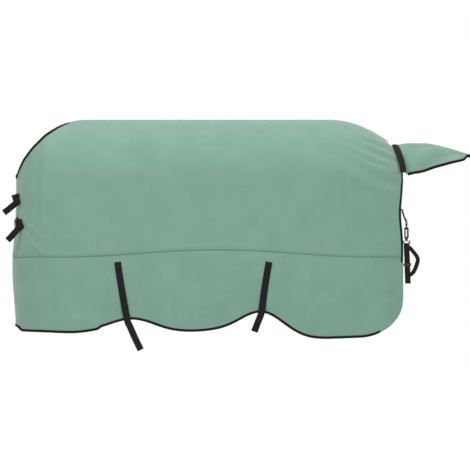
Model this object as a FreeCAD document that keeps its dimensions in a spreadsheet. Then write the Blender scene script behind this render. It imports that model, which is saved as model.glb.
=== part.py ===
"""Fleece horse rug: a draped shell with a chest closure, belly straps, leg straps and a tail flap.

Frame: +X towards the tail, +Z up, the near (left) side of the horse at -Y, origin on the underside
of the back seam at the middle of the back, where the rug rests on the horse. Millimetres.
"""
import FreeCAD, Part
import math
import os

Vector = FreeCAD.Vector
doc = FreeCAD.newDocument("TurnoutRug")

# ---------------------------------------------------------------- driving dimensions
SIZES = {
    "back_length": 1447, "front_reach": 237, "rear_x": 770, "half_width": 300, "cloth": 5,
    "back_radius": 260, "chest_radius": 260, "flap_line": 800, "seam_gap": 0.6,
    "neck_drop": 252, "neck_power": 1.46, "withers_drop": 12,
    "croup_start": 440, "croup_rate": 0.0014, "seam_height": 584, "seam_wave": 16,
    "hem_height": 936, "hem_step": 32, "front_arch": 50, "front_arch_x": 430, "rear_arch": 95,
    "rear_arch_x": 145, "arch_spread": 132, "corner_length": 195, "corner_height": 171,
    "binding": 12, "binding_proud": 1.5, "spine_tape": 14, "dock_tape": 24,
    "webbing": 30, "light_webbing": 22, "webbing_thick": 2.2, "strap_clear": 0.5,
    "buckle_width": 40, "buckle_length": 34, "buckle_bar": 4, "bar_radius": 1.8,
    "bar_bore": 2.1, "loop_width": 26, "loop_thick": 8.6, "loop_height": 14, "notch": 6.4,
    "prong_eye": 4, "prong_width": 3, "prong_thick": 1.6, "prong_length": 33.5,
    "keeper_height": 10, "keeper_room": 5, "tab_length": 52,
    "ring_width": 34, "ring_drop": 20, "hook_radius": 6.4, "hook_wire": 2.2, "hook_shank": 34,
    "barrel_radius": 4.6, "barrel_height": 12, "pin_radius": 2.4,
    "leg_loop_width": 15, "slider_width": 31, "slider_height": 12, "slider_thick": 7,
    "tail_reach": 343, "tail_cloth": 4,
}
sheet = doc.addObject("Spreadsheet::Sheet", "Sizes")
for row, (alias, value) in enumerate(SIZES.items(), start=1):
    sheet.set(f"A{row}", alias)
    sheet.set(f"B{row}", str(value))
    sheet.setAlias(f"B{row}", alias)
doc.recompute()


def size(alias):
    """A driving dimension as a plain number."""
    return float(sheet.get(alias))


CLOTH = size("cloth")
HALF_BACK = size("back_length") / 2
FLAP_X = -size("flap_line")
REAR_X = size("rear_x")
CHEST_X = -HALF_BACK - size("front_reach")
BINDING = size("binding")
WEB = size("webbing_thick")
NEAR, FAR = -1, 1
SIDES = {"near": NEAR, "far": FAR}
outputs = []


def bound(kind, label, sizes, place=None):
    """A Part primitive whose properties are bound to the sheet."""
    thing = doc.addObject(kind, label)
    for name, expression in sizes.items():
        thing.setExpression(name, expression)
    if place is not None:
        thing.Placement = place
    return thing


def at(x, y, z, axis=(0, 0, 1), angle=0):
    """A placement: a turn about an axis, then a move."""
    return FreeCAD.Placement(Vector(x, y, z), FreeCAD.Rotation(Vector(*axis), angle))


def boolean(kind, label, base, tool):
    """A Part::Cut, Part::Fuse or Part::Common of two objects of the document."""
    thing = doc.addObject(kind, label)
    thing.Base = base
    thing.Tool = tool
    return thing


def keep(thing, label, place=None):
    """Name a finished sub-part, put it in its place and list it for export."""
    thing.Label = label
    if place is not None:
        thing.Placement = place
    outputs.append(thing)
    return thing


def feature(label, shape, place=None):
    """A sub-part whose curved cloth shape comes from Part's own functions."""
    thing = doc.addObject("Part::Feature", label)
    thing.Shape = shape
    return keep(thing, label, place)


# ---------------------------------------------------------------- the rug's drape, by formula
def smooth(low, high, value):
    """0 below low, 1 above high, and an even S between them."""
    share = min(1, max(0, (value - low) / (high - low)))
    return share * share * (3 - 2 * share)


def bump(centre, spread, value):
    """A bell of height 1."""
    return math.exp(-((value - centre) / spread) ** 2)


def back_line(x):
    """Height of the outside of the back: level, falling at the croup and a little at the withers."""
    croup = max(0, x - size("croup_start"))
    withers = min(83, max(0, -HALF_BACK + 83 - x))
    return CLOTH - size("croup_rate") * croup ** 2 - size("withers_drop") * (withers / 83) ** 2


def chest_line(z):
    """How far forward the chest reaches at a height."""
    return CHEST_X + 4 - 18 * bump(-660, 180, z)


def seam_line(x):
    """Height of the seam between the side and the skirt."""
    turn = math.pi * min(1, abs(x + 60) / 700)
    return -size("seam_height") + size("seam_wave") * math.cos(turn)


def hem_line(x):
    """Height of the hem: two arches for the legs, a rounded rear corner and a lifted front."""
    level = -size("hem_height") - size("hem_step") * smooth(-100, 420, x)
    arches = size("front_arch") * bump(-size("front_arch_x"), size("arch_spread"), x)
    arches += size("rear_arch") * bump(size("rear_arch_x"), size("arch_spread"), x)
    past = min(1, max(0, (x - REAR_X + size("corner_length")) / size("corner_length")))
    corner = size("corner_height") * (1 - (1 - past ** 1.8) ** 0.5)
    front = 40 * (1 - smooth(-970, -890, x))
    return level + arches + corner + front


def rear_line(z):
    """How far back the rear edge reaches: it leans forward towards the dock."""
    dock = max(0, (z + 235) / 120)
    return REAR_X - 33 * min(dock, 1.2) ** 1.7 - 10 * bump(-409, 90, z)


def neck_line(x):
    """Height of the neck opening's rim, as a flattened quarter ellipse."""
    power = size("neck_power")
    share = min(1, max(0, (-HALF_BACK - x) / (-HALF_BACK - CHEST_X)))
    top = back_line(-HALF_BACK)
    return top - size("neck_drop") * (1 - (1 - share ** power) ** (1 / power))


def half_width(x, z):
    """The drape's half width before the back and the chest round it off."""
    rear = max(0, x - 430) / (REAR_X - 430)
    front = max(0, -500 - x) / 300
    tuck = max(0, -600 - z) / 350
    return size("half_width") * (1 - 0.24 * rear ** 2 - 0.04 * min(front, 1)) * (1 - 0.04 * tuck ** 2)


def rounding(distance, radius):
    """0 on the outline, 1 from one radius inside it."""
    share = 1 - min(1, max(0, distance / radius))
    return math.sqrt(max(0, 1 - share * share))


def side_point(x, z, side):
    """The outside of the drape, seen from the side at x and z."""
    y = half_width(x, z)
    y *= rounding(back_line(x) - z, size("back_radius"))
    y *= rounding(x - chest_line(z), size("chest_radius"))
    return Vector(x, side * y, z)


# ---------------------------------------------------------------- cloth solids
def surface_through(grid):
    """A smooth face through a grid of points."""
    surface = Part.BSplineSurface()
    surface.interpolate(grid)
    return surface


def border(surface):
    """The four edges of a surface, in a fixed order."""
    low_u, high_u, low_v, high_v = surface.bounds()
    curves = (surface.uIso(low_u), surface.uIso(high_u), surface.vIso(low_v), surface.vIso(high_v))
    return [curve.toShape() for curve in curves]


def outward(place, normal):
    """The normal that points away from the horse's body."""
    body = Vector(max(-600, place.x), 0, min(-300, place.z))
    return normal if normal.dot(place - body) > 0 else normal * -1


def cloth_solid(point, us, vs, outside, inside):
    """A closed shell of cloth about point(u, v), from `outside` beyond it to `inside` within it."""
    step = 1e-3
    grids = {outside: [], -inside: []}
    for u in us:
        rows = {outside: [], -inside: []}
        for v in vs:
            along = point(u + step, v) - point(u - step, v)
            down = point(u, v + step) - point(u, v - step)
            normal = outward(point(u, v), along.cross(down).normalize())
            for offset, row in rows.items():
                row.append(point(u, v) + normal * offset)
        for offset, row in rows.items():
            grids[offset].append(row)
    outer, inner = (surface_through(grid) for grid in grids.values())
    faces = [outer.toShape(), inner.toShape()]
    for outer_edge, inner_edge in zip(border(outer), border(inner)):
        faces.append(Part.makeRuledSurface(outer_edge, inner_edge))
    shell = Part.Shell(Part.makeShell(faces).Faces)
    shell.sewShape()
    solid = Part.Solid(shell)
    if solid.Volume < 0:
        solid.reverse()
    return solid


def spaced(low, high, count):
    """Even steps from low to high, both included."""
    return [low + (high - low) * i / (count - 1) for i in range(count)]


# ---------------------------------------------------------------- panels
GAP = size("seam_gap")
ARC_SHARE = 0.56
TAPE = size("spine_tape") / 2
LAST_X = REAR_X - BINDING - 4 * GAP
FLAP_TURN = math.acos(1 - (FLAP_X - CHEST_X - 4) / size("chest_radius"))


def rim_depth(x):
    """How far the neck rim's binding reaches down, narrowing as the rim turns over the withers."""
    return BINDING * min(1, (-HALF_BACK - x) / 60)


def top_limit(x):
    """Top edge of the side panel: the neck rim's binding in front of the withers, then the tape."""
    share = (TAPE + 4 * GAP) / half_width(x, 0)
    beside_tape = back_line(x) - size("back_radius") * (1 - math.sqrt(1 - share * share))
    if x > -HALF_BACK:
        return beside_tape
    return min(beside_tape, neck_line(x) - rim_depth(x))


def columns_to_rear(x, z):
    """Bend a column of the panel so that the last one follows the rear edge."""
    share = max(0, x - 450) / (LAST_X - 450)
    return x + (rear_line(z) - REAR_X) * share ** 2


def side_panel_point(side):
    """The side panel's surface: u is the column, v runs down from the back to the seam."""
    def point(u, v):
        top_x = columns_to_rear(u, back_line(u))
        radius = size("back_radius")
        start = math.acos(1 - min(radius, back_line(top_x) - top_limit(top_x)) / radius)
        if v < ARC_SHARE:
            turn = start + (math.pi / 2 - start) * v / ARC_SHARE
            z = back_line(top_x) - radius * (1 - math.cos(turn))
        else:
            shoulder = back_line(top_x) - radius
            z = shoulder + (seam_line(u) + GAP - shoulder) * (v - ARC_SHARE) / (1 - ARC_SHARE)
        return side_point(columns_to_rear(u, z), z, side)
    return point


def skirt_point(side):
    """The skirt below the seam: v runs from the seam down to the binding."""
    def point(u, v):
        top = seam_line(u) - GAP
        bottom = hem_line(u) + BINDING
        z = top + (bottom - top) * v
        return side_point(columns_to_rear(u, z), z, side)
    return point


def flap_x(turn, z):
    """Fore and aft place on the chest flap, by its turn about the chest's front."""
    return chest_line(z) + (FLAP_X - chest_line(z)) * (1 - math.cos(turn)) / (1 - math.cos(FLAP_TURN))


def flap_point(side, top_of, bottom_of):
    """The chest flap's surface: u is the turn from the middle of the chest, v runs down."""
    def point(u, v):
        x = flap_x(u, -500)
        top = top_of(x)
        z = top + (bottom_of(x) - top) * v
        return side_point(flap_x(u, z), z, side)
    return point


FOLD_X = FLAP_X + 3
SIDE_COLUMNS = spaced(FOLD_X, LAST_X, 35)
SIDE_ROWS = spaced(0, 1, 10)
SKIRT_COLUMNS = spaced(FOLD_X, LAST_X, 29)
FLAP_FIRST = 0.05
FLAP_TURNS = spaced(FLAP_FIRST, FLAP_TURN, 7)
for name, side in SIDES.items():
    feature(f"{name}_side_panel", cloth_solid(side_panel_point(side), SIDE_COLUMNS, SIDE_ROWS, 0, CLOTH))
    feature(f"{name}_skirt", cloth_solid(skirt_point(side), SKIRT_COLUMNS, spaced(0, 1, 5), 0, CLOTH))
    chest = flap_point(side, lambda x: neck_line(x) - BINDING, lambda x: seam_line(x) + GAP)
    feature(f"{name}_chest_panel", cloth_solid(chest, FLAP_TURNS, spaced(0, 1, 6), 0, CLOTH))
    chest = flap_point(side, lambda x: seam_line(x) - GAP, lambda x: hem_line(x) + BINDING)
    feature(f"{name}_chest_skirt", cloth_solid(chest, FLAP_TURNS, spaced(0, 1, 4), 0, CLOTH))


# ---------------------------------------------------------------- tapes and bindings
PROUD = size("binding_proud")


def spine_point(u, v):
    """The tape over the back seam: v runs across from the near to the far edge."""
    y = TAPE * v
    share = y / half_width(u, 0)
    z = back_line(u) - size("back_radius") * (1 - math.sqrt(1 - share * share))
    return Vector(u, y, z)


SPINE_END = HALF_BACK - 22
feature("spine_seam", cloth_solid(spine_point, spaced(-HALF_BACK, SPINE_END, 9), [-1, 0, 1], PROUD, CLOTH))


def strip_between(side, upper, lower):
    """A strip of the drape between two heights at each column."""
    def point(u, v):
        z = upper(u) + (lower(u) - upper(u)) * v
        return side_point(columns_to_rear(u, z), z, side)
    return point


def rear_strip(side):
    """The strip along the rear edge: u runs down it, v runs across to the edge."""
    def point(u, v):
        x = rear_line(u) - BINDING * (1 - v)
        return side_point(x, u, side)
    return point


RIM_GAP = 4.5
CORNER_Z = -size("hem_height") - size("hem_step") + size("corner_height")
for name, side in SIDES.items():
    rim = strip_between(side, neck_line, lambda x: neck_line(x) - rim_depth(x) + RIM_GAP)
    feature(f"{name}_neck_binding",
            cloth_solid(rim, spaced(FOLD_X, -HALF_BACK - 20, 4), [0, 0.5, 1], PROUD, CLOTH + PROUD))
    hem = strip_between(side, lambda x: hem_line(x) + BINDING - 2 * GAP, hem_line)
    feature(f"{name}_hem_binding",
            cloth_solid(hem, SKIRT_COLUMNS, [0, 0.5, 1], PROUD, CLOTH + PROUD))
    feature(f"{name}_rear_binding",
            cloth_solid(rear_strip(side), spaced(-244, CORNER_Z + 14, 9), [0, 0.5, 1], PROUD, CLOTH + PROUD))
    front = flap_point(side, neck_line, hem_line)
    feature(f"{name}_chest_binding",
            cloth_solid(front, [0.008, 0.026, FLAP_FIRST - 0.003], spaced(0, 1, 9), PROUD, CLOTH + PROUD))
    rim = flap_point(side, neck_line, lambda x: neck_line(x) - BINDING + GAP)
    feature(f"{name}_chest_neck_binding",
            cloth_solid(rim, FLAP_TURNS, [0, 0.5, 1], PROUD, CLOTH + PROUD))
    hem = flap_point(side, lambda x: hem_line(x) + BINDING - GAP, hem_line)
    feature(f"{name}_chest_hem_binding",
            cloth_solid(hem, FLAP_TURNS, [0, 0.5, 1], PROUD, CLOTH + PROUD))


# ---------------------------------------------------------------- dock band and tail flap
DOCK_TOP = back_line(HALF_BACK) + 2
DOCK_DROP = 122


def dock_point(u, v):
    """The wide tape round the dock: u runs over it from near (-1) to far (1), v towards the tail."""
    turn = math.pi / 2 * u
    z = DOCK_TOP - DOCK_DROP * (1 - math.cos(turn))
    x = rear_line(z) - BINDING + GAP + size("dock_tape") * v
    y = half_width(x, z) * rounding(DOCK_TOP - z, size("back_radius"))
    return Vector(x, math.copysign(y, u), z)


feature("dock_band", cloth_solid(dock_point, spaced(-1, 1, 13), [0, 0.5, 1], PROUD, CLOTH))

TAIL_INSET = 0.82
TAIL_EDGE = 0.93
TAIL_END = 0.965
TAIL_BEND = 0.4


def tail_ridge(share):
    """Height of the tail flap's ridge: level from its root, then drooping to the tip."""
    droop = max(0, (share - TAIL_BEND) / (1 - TAIL_BEND)) ** 1.3
    return DOCK_TOP + 7 - 9 * (1 - smooth(-0.1, 0.15, share)) - 52 * droop


def tail_point(u, v):
    """The tail flap: u runs from the root (0) to the tip (1), v from the near to the far edge."""
    turn = math.pi / 2 * v
    height = 8 + 125 * (1 - max(0, u) ** 1.8)
    z = tail_ridge(u) - height * (1 - math.cos(turn))
    root_drop = DOCK_DROP * (1 - math.cos(turn))
    root_x = rear_line(DOCK_TOP - root_drop) - BINDING + size("dock_tape") + 3
    x = root_x + (HALF_BACK + size("tail_reach") - root_x) * u
    y = TAIL_INSET * half_width(REAR_X, -100) * rounding(root_drop, size("back_radius"))
    return Vector(x, math.copysign(y * (1 - 0.35 * u), v), z)


TAIL_CLOTH = size("tail_cloth")
feature("tail_flap", cloth_solid(tail_point, spaced(0, TAIL_END - 0.003, 8),
                                 spaced(-TAIL_EDGE, TAIL_EDGE, 11), 0, TAIL_CLOTH))
tail_tapes = {
    "near_tail_binding": cloth_solid(lambda u, v: tail_point(u, -v), spaced(0, TAIL_END - 0.002, 8),
                                     [TAIL_EDGE + 0.004, 0.967, 1], PROUD, TAIL_CLOTH + PROUD),
    "far_tail_binding": cloth_solid(tail_point, spaced(0, TAIL_END - 0.002, 8),
                                    [TAIL_EDGE + 0.004, 0.967, 1], PROUD, TAIL_CLOTH + PROUD),
    "tail_tip_binding": cloth_solid(tail_point, [TAIL_END, 0.982, 1], spaced(-1, 1, 9),
                                    PROUD, 2),
}
for name, tape in tail_tapes.items():
    feature(name, tape)


# ---------------------------------------------------------------- flat webbing
def webbing(route, width, thick, base_y):
    """A flat strap whose face lies in the XZ plane: a route of (x, z) points, given a width."""
    left, right = [], []
    for i, (x, z) in enumerate(route):
        before = route[max(0, i - 1)]
        after = route[min(len(route) - 1, i + 1)]
        run = Vector(after[0] - before[0], 0, after[1] - before[1]).normalize()
        across = Vector(-run.z, 0, run.x) * (width / 2)
        left.append(Vector(x, base_y, z) + across)
        right.append(Vector(x, base_y, z) - across)
    outline = left + right[::-1]
    face = Part.Face(Part.makePolygon(outline + outline[:1]))
    return face.extrude(Vector(0, thick, 0))


def near_face(x, z):
    """The outermost place of the near side about a point of the side view."""
    return side_point(x, z, NEAR).y


# near belly straps: sewn below the seam, they hang past the hem
WEB_WIDE = size("webbing")
BELLY_ROUTES = {
    "front": [(-501, -628), (-474, -800), (-456, -892), (-426, -960), (-398, -1019)],
    "rear": [(172, -628), (148, -780), (140, -853), (121, -900), (107, -938)],
}
for place, route in BELLY_ROUTES.items():
    face_y = min(near_face(x, z) for x, z in route[:3]) - size("strap_clear") - WEB
    feature(f"{place}_belly_strap", webbing(route, WEB_WIDE, WEB, face_y))


# ---------------------------------------------------------------- buckles
# A buckle is drawn with its bar along X at the origin, its frame below it and its face at -Y.
def buckle_frame(label, place):
    """A flat square frame with a round bar across its top."""
    outer = bound("Part::Box", f"{label}_outer", {
        "Length": "Sizes.buckle_width", "Width": "Sizes.buckle_bar", "Height": "Sizes.buckle_length"})
    outer.Placement = at(-size("buckle_width") / 2, -size("buckle_bar") / 2, -size("buckle_length"))
    window = bound("Part::Box", f"{label}_window", {
        "Length": "Sizes.buckle_width - 2 * Sizes.buckle_bar", "Width": "3 * Sizes.buckle_bar",
        "Height": "Sizes.buckle_length"})
    window.Placement = at(-size("buckle_width") / 2 + size("buckle_bar"), -1.5 * size("buckle_bar"),
                          -size("buckle_length") + size("buckle_bar"))
    frame = boolean("Part::Cut", f"{label}_frame", outer, window)
    doc.recompute()
    rounded = doc.addObject("Part::Fillet", f"{label}_rounded")
    rounded.Base = frame
    rounded.Edges = [(number, 1.2, 1.2) for number, edge in enumerate(frame.Shape.Edges, start=1)
                     if abs(edge.tangentAt(edge.FirstParameter).z) > 0.9 and edge.Length > 30]
    bar = bound("Part::Cylinder", f"{label}_bar", {
        "Radius": "Sizes.bar_radius", "Height": "Sizes.buckle_width - 1"})
    bar.Placement = at(-size("buckle_width") / 2 + 0.5, 0, 0, (0, 1, 0), 90)
    return keep(boolean("Part::Fuse", label, rounded, bar), label, place)


def buckle_prong(label, place):
    """The tongue: an eye round the bar and a flat pin that rests on the frame's far side."""
    eye = bound("Part::Cylinder", f"{label}_eye", {
        "Radius": "Sizes.prong_eye", "Height": "Sizes.prong_width + 2"})
    eye.Placement = at(-size("prong_width") / 2 - 1, 0, 0, (0, 1, 0), 90)
    pin = bound("Part::Box", f"{label}_pin", {
        "Length": "Sizes.prong_width", "Width": "Sizes.prong_thick", "Height": "Sizes.prong_length"})
    pin.Placement = at(-size("prong_width") / 2, -size("prong_eye"), -size("prong_length"))
    bore = bound("Part::Cylinder", f"{label}_bore", {
        "Radius": "Sizes.bar_bore - 0.1", "Height": "4 * Sizes.prong_width"})
    bore.Placement = at(-2 * size("prong_width"), 0, 0, (0, 1, 0), 90)
    whole = boolean("Part::Fuse", f"{label}_whole", eye, pin)
    return keep(boolean("Part::Cut", label, whole, bore), label, place)


def strap_loop(label):
    """The end of a strap folded round a bar: a block with the bar's bore and the prong's notch."""
    thick = size("loop_thick")
    block = bound("Part::Box", f"{label}_block", {
        "Length": "Sizes.loop_width", "Width": "Sizes.loop_thick", "Height": "Sizes.loop_height"})
    block.Placement = at(-size("loop_width") / 2, -thick / 2, -thick / 2)
    bore = bound("Part::Cylinder", f"{label}_bore", {"Radius": "Sizes.bar_bore", "Height": "60"})
    bore.Placement = at(-30, 0, 0, (0, 1, 0), 90)
    loop = boolean("Part::Cut", f"{label}_loop", block, bore)
    notch = bound("Part::Box", f"{label}_notch", {
        "Length": "Sizes.notch", "Width": "2 * Sizes.loop_thick", "Height": "Sizes.loop_height - 1.2"})
    notch.Placement = at(-size("notch") / 2, -thick, -thick / 2 - 0.5)
    return boolean("Part::Cut", f"{label}_notched", loop, notch)


# far belly straps: folded for storage above the hem, with the buckles that take the near ones
FAR_FACING = (0, 0, 1)
FAR_BELLY = {"front": (-474, -628, -856), "rear": (150, -628, -800)}
for place, (x, top, bar_z) in FAR_BELLY.items():
    face_y = max(side_point(x + dx, z, FAR).y for dx in (-15, 0, 15) for z in (top, -700, bar_z))
    bar_y = face_y + size("strap_clear") + size("loop_thick") / 2 + 0.2
    facing = at(x, bar_y, bar_z, FAR_FACING, 180)
    loop = strap_loop(f"{place}_far_strap")
    flat = bound("Part::Box", f"{place}_far_flat", {
        "Length": "Sizes.loop_width", "Width": "3 * Sizes.webbing_thick",
        "Height": f"{top - bar_z} - Sizes.loop_height + 8"})
    flat.Placement = at(-size("loop_width") / 2, -1.5 * WEB, size("loop_height") - 6)
    keep(boolean("Part::Fuse", f"{place}_far_belly_strap", loop, flat), f"{place}_far_belly_strap", facing)
    buckle_frame(f"{place}_belly_buckle", facing)
    buckle_prong(f"{place}_belly_prong", facing)


# ---------------------------------------------------------------- chest straps and buckles
CHEST_STRAPS = {
    "upper": {"patch": (-326, -376), "route": [(-944, -350), (-962, -362), (-988, -388), (-1011, -409)]},
    "lower": {"patch": (-430, -482), "route": [(-934, -458), (-950, -472), (-966, -496), (-990, -526)]},
}
BUCKLE_TURN = math.radians(22)


def chest_patch(side, first, last, top, bottom):
    """A sewn patch of webbing on the chest, between two turns and two heights."""
    def point(u, v):
        z = top + (bottom - top) * v
        return side_point(flap_x(u, z), z, side)
    return cloth_solid(point, spaced(first, last, 4), spaced(0, 1, 3),
                       size("strap_clear") + WEB, -size("strap_clear"))


for place, strap in CHEST_STRAPS.items():
    top, bottom = strap["patch"]
    feature(f"{place}_strap_patch", chest_patch(NEAR, 0.20, 0.36, top, bottom))
    start_x, start_z = strap["route"][0]
    strap_y = near_face(start_x + 15, start_z) - 2 * (size("strap_clear") + WEB) - 2.4
    feature(f"{place}_chest_strap", webbing(strap["route"], size("loop_width"), WEB, strap_y))

    middle = (top + bottom) / 2
    seat = side_point(flap_x(BUCKLE_TURN, middle), middle, FAR)
    ahead = side_point(flap_x(BUCKLE_TURN - 0.02, middle), middle, FAR)
    behind = side_point(flap_x(BUCKLE_TURN + 0.02, middle), middle, FAR)
    along = (behind - ahead).normalize()
    face_out = Vector(-along.y, along.x, 0)
    bar_at = seat + face_out * (size("loop_thick") / 2 + 4)
    turned = FreeCAD.Rotation(Vector(0, 0, 1), face_out * -1, along, "ZXY")
    facing = FreeCAD.Placement(bar_at, turned)
    loop = strap_loop(f"{place}_tab")
    tail = bound("Part::Box", f"{place}_tab_flat", {
        "Length": "Sizes.loop_width", "Width": "Sizes.webbing_thick",
        "Height": "Sizes.tab_length - Sizes.loop_height"})
    tail.Placement = at(-size("loop_width") / 2, size("loop_thick") / 2 - WEB, size("loop_height") - 5)
    keep(boolean("Part::Fuse", f"{place}_buckle_tab", loop, tail), f"{place}_buckle_tab", facing)
    buckle_frame(f"{place}_chest_buckle", facing)
    buckle_prong(f"{place}_chest_prong", facing)
    keeper = bound("Part::Box", f"{place}_keeper_outer", {
        "Length": "Sizes.webbing + 6", "Width": "Sizes.keeper_room + 2.4", "Height": "Sizes.keeper_height"})
    keeper.Placement = at(-size("webbing") / 2 - 3, -5.4, 24)
    room = bound("Part::Box", f"{place}_keeper_room", {
        "Length": "Sizes.webbing + 2", "Width": "Sizes.keeper_room", "Height": "3 * Sizes.keeper_height"})
    room.Placement = at(-size("webbing") / 2 - 1, -4.2, 14)
    keep(boolean("Part::Cut", f"{place}_strap_keeper", keeper, room), f"{place}_strap_keeper", facing)


# ---------------------------------------------------------------- hind leg straps
RING_X = REAR_X + 15
RING_Z = -462
EYE_Z = -548
LEG_Y = 14
GATE_LOW, GATE_HIGH = -32.1, -6.6


def wire_bar(points, radius):
    """A round bar along straight runs and arcs: each entry is an edge."""
    path = Part.Wire(points)
    start = path.OrderedEdges[0]
    profile = Part.Wire(Part.makeCircle(radius, start.valueAt(start.FirstParameter),
                                        start.tangentAt(start.FirstParameter)))
    return path.makePipeShell([profile], True, True)


def hook_shape():
    """A snap hook's body: a hook over the ring's bar, with a shank down to its swivel barrel."""
    radius = size("hook_radius")
    shank = size("hook_shank")
    low = Vector(radius, 0, -shank)
    top = Vector(radius, 0, 0)
    over = Part.Arc(top, Vector(0, 0, radius), Vector(-radius, 0, 0)).toShape()
    nose = Part.makeLine(Vector(-radius, 0, 0), Vector(-radius, 0, GATE_HIGH + 0.6))
    body = wire_bar([Part.makeLine(low, top), over, nose], size("hook_wire"))
    foot = Part.makeBox(2 * radius + 2 * size("hook_wire"), 2 * size("hook_wire"), 6,
                        Vector(-radius - size("hook_wire"), -size("hook_wire"), -shank - 5))
    barrel = Part.makeCylinder(size("barrel_radius"), size("barrel_height"),
                               Vector(0, 0, -shank - 5 - size("barrel_height") + 2))
    bore = Part.makeCylinder(size("pin_radius"), size("barrel_height") + 1,
                             Vector(0, 0, -shank - 5 - size("barrel_height") + 1))
    return body.fuse([foot, barrel]).removeSplitter().cut(bore)


def leg_strap_shape():
    """The leg strap, hung from the eye's bar at its origin: a straight fall and a slack second run."""
    fall = webbing([(0.5, -8), LEG_FOOT], size("light_webbing"), WEB, -WEB / 2)
    slack = webbing([(1, -9), (14, -27), (42, -70), (38, -100), (30, -122), (6, -146)],
                    size("leg_loop_width"), WEB, WEB / 2 - 0.1)
    top = Part.makeBox(size("light_webbing"), size("loop_thick"), size("loop_height"),
                       Vector(-size("light_webbing") / 2, -size("loop_thick") / 2, -9.7))
    bore = Part.makeCylinder(size("bar_bore"), 40, Vector(-20, 0, 0), Vector(1, 0, 0))
    return top.cut(bore).fuse([fall, slack]).removeSplitter()


LEG_FOOT = (7, -175)
for name, side in SIDES.items():
    edge = side_point(rear_line(RING_Z) - 4, RING_Z, side)
    y = edge.y - side * LEG_Y
    tab_block = bound("Part::Box", f"{name}_leg_tab_block", {
        "Length": "27", "Width": "Sizes.light_webbing", "Height": "26"})
    tab_block.Placement = at(-20.5, -size("light_webbing") / 2, -5)
    tab_bore = bound("Part::Cylinder", f"{name}_leg_tab_bore", {"Radius": "Sizes.bar_bore", "Height": "60"})
    tab_bore.Placement = at(0, 30, 0, (1, 0, 0), 90)
    tab = boolean("Part::Cut", f"{name}_leg_tab", tab_block, tab_bore)
    keep(tab, f"{name}_leg_tab", at(RING_X, y, RING_Z))

    ring_outer = bound("Part::Box", f"{name}_ring_outer", {
        "Length": "2 * Sizes.bar_radius", "Width": "Sizes.ring_width",
        "Height": "Sizes.ring_drop + 2 * Sizes.bar_radius"})
    ring_outer.Placement = at(-size("bar_radius"), -size("ring_width") / 2,
                              -size("ring_drop") - size("bar_radius"))
    ring_window = bound("Part::Box", f"{name}_ring_window", {
        "Length": "20", "Width": "Sizes.ring_width - 4 * Sizes.bar_radius",
        "Height": "Sizes.ring_drop - 2 * Sizes.bar_radius"})
    ring_window.Placement = at(-10, -size("ring_width") / 2 + 2 * size("bar_radius"),
                               -size("ring_drop") + size("bar_radius"))
    ring = boolean("Part::Cut", f"{name}_ring_frame", ring_outer, ring_window)
    doc.recompute()
    ring_round = doc.addObject("Part::Fillet", f"{name}_ring_round")
    ring_round.Base = ring
    ring_round.Edges = [(number, 1.6, 1.6) for number, line in enumerate(ring.Shape.Edges, start=1)
                        if line.Length > 15 and abs(line.tangentAt(line.FirstParameter).x) < 0.1]
    keep(ring_round, f"{name}_leg_ring", at(RING_X, y, RING_Z))

    hook_z = RING_Z - size("ring_drop")
    feature(f"{name}_snap_hook", hook_shape(), at(RING_X, y, hook_z))
    gate = bound("Part::Cylinder", f"{name}_gate_rod", {
        "Radius": "Sizes.hook_wire - 0.4", "Height": f"{GATE_HIGH - GATE_LOW}"})
    keep(gate, f"{name}_hook_gate", at(RING_X - size("hook_radius"), y, hook_z + GATE_LOW))

    eye_outer = bound("Part::Box", f"{name}_eye_outer", {
        "Length": "Sizes.light_webbing + 9.2", "Width": "2 * Sizes.bar_radius", "Height": "13.5"})
    eye_outer.Placement = at(-size("light_webbing") / 2 - 4.6, -size("bar_radius"), 1.5)
    eye_window = bound("Part::Box", f"{name}_eye_window", {
        "Length": "Sizes.light_webbing + 2", "Width": "20", "Height": "20"})
    eye_window.Placement = at(-size("light_webbing") / 2 - 1, -10, -8.5)
    eye_frame = boolean("Part::Cut", f"{name}_eye_frame", eye_outer, eye_window)
    eye_bar = bound("Part::Cylinder", f"{name}_eye_bar", {
        "Radius": "Sizes.bar_radius", "Height": "Sizes.light_webbing + 9.2"})
    eye_bar.Placement = at(-size("light_webbing") / 2 - 4.6, 0, 0, (0, 1, 0), 90)
    eye_pin = bound("Part::Cylinder", f"{name}_eye_pin", {
        "Radius": "Sizes.pin_radius - 0.05", "Height": "14"})
    eye_pin.Placement = at(0, 0, 14)
    eye_low = boolean("Part::Fuse", f"{name}_eye_low", eye_frame, eye_bar)
    keep(boolean("Part::Fuse", f"{name}_swivel_eye", eye_low, eye_pin), f"{name}_swivel_eye",
         at(RING_X, y, EYE_Z))

    feature(f"{name}_leg_strap", leg_strap_shape(), at(RING_X, y, EYE_Z))
    lean = math.degrees(math.atan2(LEG_FOOT[0] - 0.5, -LEG_FOOT[1] - 8))
    slider_outer = bound("Part::Box", f"{name}_slider_outer", {
        "Length": "Sizes.slider_width", "Width": "Sizes.slider_thick", "Height": "Sizes.slider_height"})
    slider_outer.Placement = at(-size("slider_width") / 2, -size("slider_thick") / 2,
                                -size("slider_height") / 2)
    slider_slot = bound("Part::Box", f"{name}_slider_slot", {
        "Length": "Sizes.light_webbing + 0.8", "Width": "Sizes.webbing_thick + 0.8", "Height": "50"})
    slider_slot.Placement = at(-size("light_webbing") / 2 - 0.4, -WEB / 2 - 0.4, -25)
    keep(boolean("Part::Cut", f"{name}_strap_slider", slider_outer, slider_slot), f"{name}_strap_slider",
         at(RING_X + 0.5 + (LEG_FOOT[0] - 0.5) * 84 / 167, y, EYE_Z - 92, (0, 1, 0), -lean))


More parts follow.
